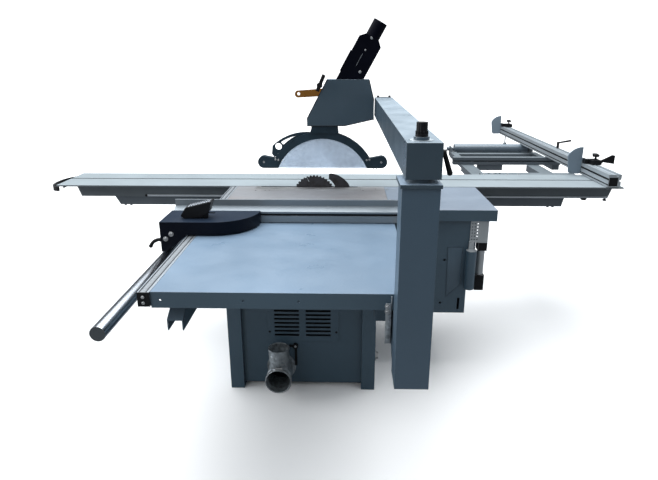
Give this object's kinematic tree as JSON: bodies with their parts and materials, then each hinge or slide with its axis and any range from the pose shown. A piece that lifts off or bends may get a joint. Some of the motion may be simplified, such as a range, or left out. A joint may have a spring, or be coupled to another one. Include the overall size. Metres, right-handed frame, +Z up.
{
  "type": "panel saw",
  "caption": "Sliding-table panel saw with a tilting circular blade, overhead dust guard, rip fence on a round bar and a crosscut fence on an outrigger.",
  "frame": {"origin": "on the floor, at the centre of the four anchor holes in the cabinet's feet", "axes": "+X along the cut from the operator's end to the outfeed end, +Y across the cut from the rip side to the sliding table, +Z up"},
  "size_m": [3.3962, 3.947, 1.7626],
  "materials": {
    "cabinet_paint": "satin",
    "table_paint": "satin",
    "guard_paint": "satin",
    "arm_paint": "satin",
    "ground_iron": "ground",
    "extrusion": "anodised satin",
    "machined_steel": "machined",
    "guide_bar_steel": "ground and plated",
    "blade_steel": "ground",
    "fence_casting": "gloss",
    "black_plastic": "moulded",
    "hood_plastic": "moulded",
    "duct_black": "moulded",
    "clear_shield": "clear",
    "orange_plastic": "moulded",
    "galvanised": "zinc plated",
    "bed_paint": "satin",
    "motor_paint": "satin",
    "belt_rubber": "ribbed",
    "roller_coat": "satin"
  },
  "bodies": {
    "base": {"base_cabinet": "cabinet_paint", "side_panel": "cabinet_paint", "louvre_cover": "cabinet_paint", "dust_manifold": "galvanised", "hose_clamp": "machined_steel", "main_table": "ground_iron", "table_insert": "machined_steel", "rear_table": "table_paint", "extension_table": "table_paint", "left_table_arm": "cabinet_paint", "right_table_arm": "cabinet_paint", "guide_rail": "extrusion", "rail_end_cap": "black_plastic", "fence_bar": "guide_bar_steel", "bar_standoffs": "black_plastic", "guard_post": "guard_paint", "post_plate": "guard_paint", "trunnion_cradles": "ground_iron", "rear_housing": "cabinet_paint", "lift_actuator": "motor_paint", "slide_bed": "bed_paint"},
    "panel_latch": {"panel_latch": "black_plastic"},
    "rip_fence": {"fence_head": "fence_casting", "bar_saddle": "machined_steel", "scale_viewer": "black_plastic"},
    "rip_profile": {"fence_profile": "extrusion"},
    "fence_clamp": {"fence_clamp_lever": "black_plastic"},
    "guard_arm": {"guard_arm": "arm_paint", "guard_housing": "guard_paint", "dust_duct": "duct_black", "toggle_clamp": "black_plastic"},
    "arm_knob": {"arm_knob": "black_plastic"},
    "arm_clamp": {"arm_clamp_lever": "black_plastic"},
    "release_lever": {"release_lever": "orange_plastic"},
    "guard_hood": {"hood_frame": "hood_plastic", "hood_handle": "hood_plastic", "hood_shields": "clear_shield"},
    "infeed_roller": {"infeed_roller": "machined_steel"},
    "outfeed_roller": {"outfeed_roller": "machined_steel"},
    "tilt_unit": {"tilt_frame": "motor_paint"},
    "saw_carriage": {"saw_carriage": "motor_paint", "saw_motor": "motor_paint", "riving_knife": "blade_steel", "drive_belt": "belt_rubber"},
    "saw_arbor": {"saw_arbor": "machined_steel", "saw_blade": "blade_steel"},
    "motor_shaft": {"motor_pulley": "machined_steel"},
    "scoring_unit": {"scoring_motor": "motor_paint"},
    "scoring_blade": {"scoring_blade": "blade_steel"},
    "roller_cage": {"roller_cage": "machined_steel"},
    "sliding_table": {"sliding_table": "extrusion", "end_handle": "black_plastic", "outrigger_frame": "extrusion"},
    "outrigger_roller": {"outrigger_roller": "roller_coat"},
    "crosscut_fence": {"crosscut_fence": "extrusion"},
    "fence_lever": {"fence_lever": "black_plastic"},
    "near_slider": {"stop_slider_near": "black_plastic"},
    "near_stop": {"flip_stop_near": "guard_paint"},
    "far_slider": {"stop_slider_far": "black_plastic"},
    "far_stop": {"flip_stop_far": "guard_paint"}
  },
  "joints": [
    {"name": "table_travel", "type": "slide", "parent": "base", "child": "sliding_table", "axis": [1, 0, 0], "range_m": [-1.2, 1.2]},
    {"name": "cage_travel", "type": "slide", "parent": "base", "child": "roller_cage", "axis": [1, 0, 0], "range_m": [-0.6, 0.6]},
    {"name": "outrigger_roll", "type": "hinge", "parent": "sliding_table", "child": "outrigger_roller", "pos_m": [1.4, 1.84, 0.8295], "axis": [1, 0, 0], "continuous": true},
    {"name": "crosscut_swing", "type": "hinge", "parent": "sliding_table", "child": "crosscut_fence", "pos_m": [1.71, 0.262, 0.865], "axis": [0, 0, 1], "range_deg": [0, 45]},
    {"name": "fence_lever_turn", "type": "hinge", "parent": "crosscut_fence", "child": "fence_lever", "pos_m": [1.736, 1.15, 0.96], "axis": [0, 0, 1], "range_deg": [-60, 30]},
    {"name": "near_stop_travel", "type": "slide", "parent": "crosscut_fence", "child": "near_slider", "axis": [0, 1, 0], "range_m": [-0.2, 0.45]},
    {"name": "near_stop_flip", "type": "hinge", "parent": "near_slider", "child": "near_stop", "pos_m": [1.69, 0.585, 0.962], "axis": [0, 1, 0], "range_deg": [0, 90]},
    {"name": "far_stop_travel", "type": "slide", "parent": "crosscut_fence", "child": "far_slider", "axis": [0, 1, 0], "range_m": [-0.8, 0]},
    {"name": "far_stop_flip", "type": "hinge", "parent": "far_slider", "child": "far_stop", "pos_m": [1.69, 2.475, 0.962], "axis": [0, 1, 0], "range_deg": [0, 90]},
    {"name": "rip_travel", "type": "slide", "parent": "base", "child": "rip_fence", "axis": [0, 1, 0], "range_m": [-0.4, 0.6]},
    {"name": "profile_travel", "type": "slide", "parent": "rip_fence", "child": "rip_profile", "axis": [1, 0, 0], "range_m": [-0.3, 0.2]},
    {"name": "fence_clamp_turn", "type": "hinge", "parent": "rip_fence", "child": "fence_clamp", "pos_m": [-0.567, -0.69, 0.845], "axis": [1, 0, 0], "range_deg": [-35, 35]},
    {"name": "arm_swing", "type": "hinge", "parent": "base", "child": "guard_arm", "pos_m": [0.406, -1.392, 1.3], "axis": [0, 0, 1], "range_deg": [-90, 0]},
    {"name": "arm_knob_turn", "type": "hinge", "parent": "guard_arm", "child": "arm_knob", "pos_m": [0.406, -1.392, 1.38], "axis": [0, 0, 1], "continuous": true},
    {"name": "arm_clamp_turn", "type": "hinge", "parent": "guard_arm", "child": "arm_clamp", "pos_m": [0.46, -1.392, 1.329], "axis": [1, 0, 0], "range_deg": [-60, 60]},
    {"name": "hood_drop", "type": "slide", "parent": "guard_arm", "child": "guard_hood", "axis": [0, 0, 1], "range_m": [-0.03, 0.03]},
    {"name": "infeed_roll", "type": "hinge", "parent": "guard_hood", "child": "infeed_roller", "pos_m": [-0.251, 0.2, 1.015], "axis": [0, 1, 0], "continuous": true},
    {"name": "outfeed_roll", "type": "hinge", "parent": "guard_hood", "child": "outfeed_roller", "pos_m": [0.405, 0.2, 1.015], "axis": [0, 1, 0], "continuous": true},
    {"name": "release_turn", "type": "hinge", "parent": "guard_arm", "child": "release_lever", "pos_m": [0.092, 0.2, 1.392], "axis": [0, 1, 0], "range_deg": [-6, 12]},
    {"name": "blade_tilt", "type": "hinge", "parent": "base", "child": "tilt_unit", "pos_m": [0.03, 0.2, 0.87], "axis": [1, 0, 0], "range_deg": [0, 45]},
    {"name": "blade_rise", "type": "slide", "parent": "tilt_unit", "child": "saw_carriage", "axis": [0, 0, 1], "range_m": [-0.07, 0]},
    {"name": "arbor_spin", "type": "hinge", "parent": "saw_carriage", "child": "saw_arbor", "pos_m": [0.03, 0.2, 0.813], "axis": [0, 1, 0], "continuous": true},
    {"name": "motor_spin", "type": "hinge", "parent": "saw_carriage", "child": "motor_shaft", "pos_m": [0.03, 0.05, 0.48], "axis": [0, 1, 0], "continuous": true},
    {"name": "scoring_rise", "type": "slide", "parent": "tilt_unit", "child": "scoring_unit", "axis": [0, 0, 1], "range_m": [-0.01, 0.008]},
    {"name": "scoring_spin", "type": "hinge", "parent": "scoring_unit", "child": "scoring_blade", "pos_m": [-0.16, 0.2, 0.805], "axis": [0, 1, 0], "continuous": true},
    {"name": "latch_turn", "type": "hinge", "parent": "base", "child": "panel_latch", "pos_m": [-0.033, -0.485, 0.231], "axis": [0, 1, 0], "range_deg": [-90, 0]}
  ],
  "couplings": [
    {"joint": "cage_travel", "follows": "table_travel", "ratio": 0.5},
    {"joint": "motor_spin", "follows": "arbor_spin", "ratio": 0.7}
  ]
}
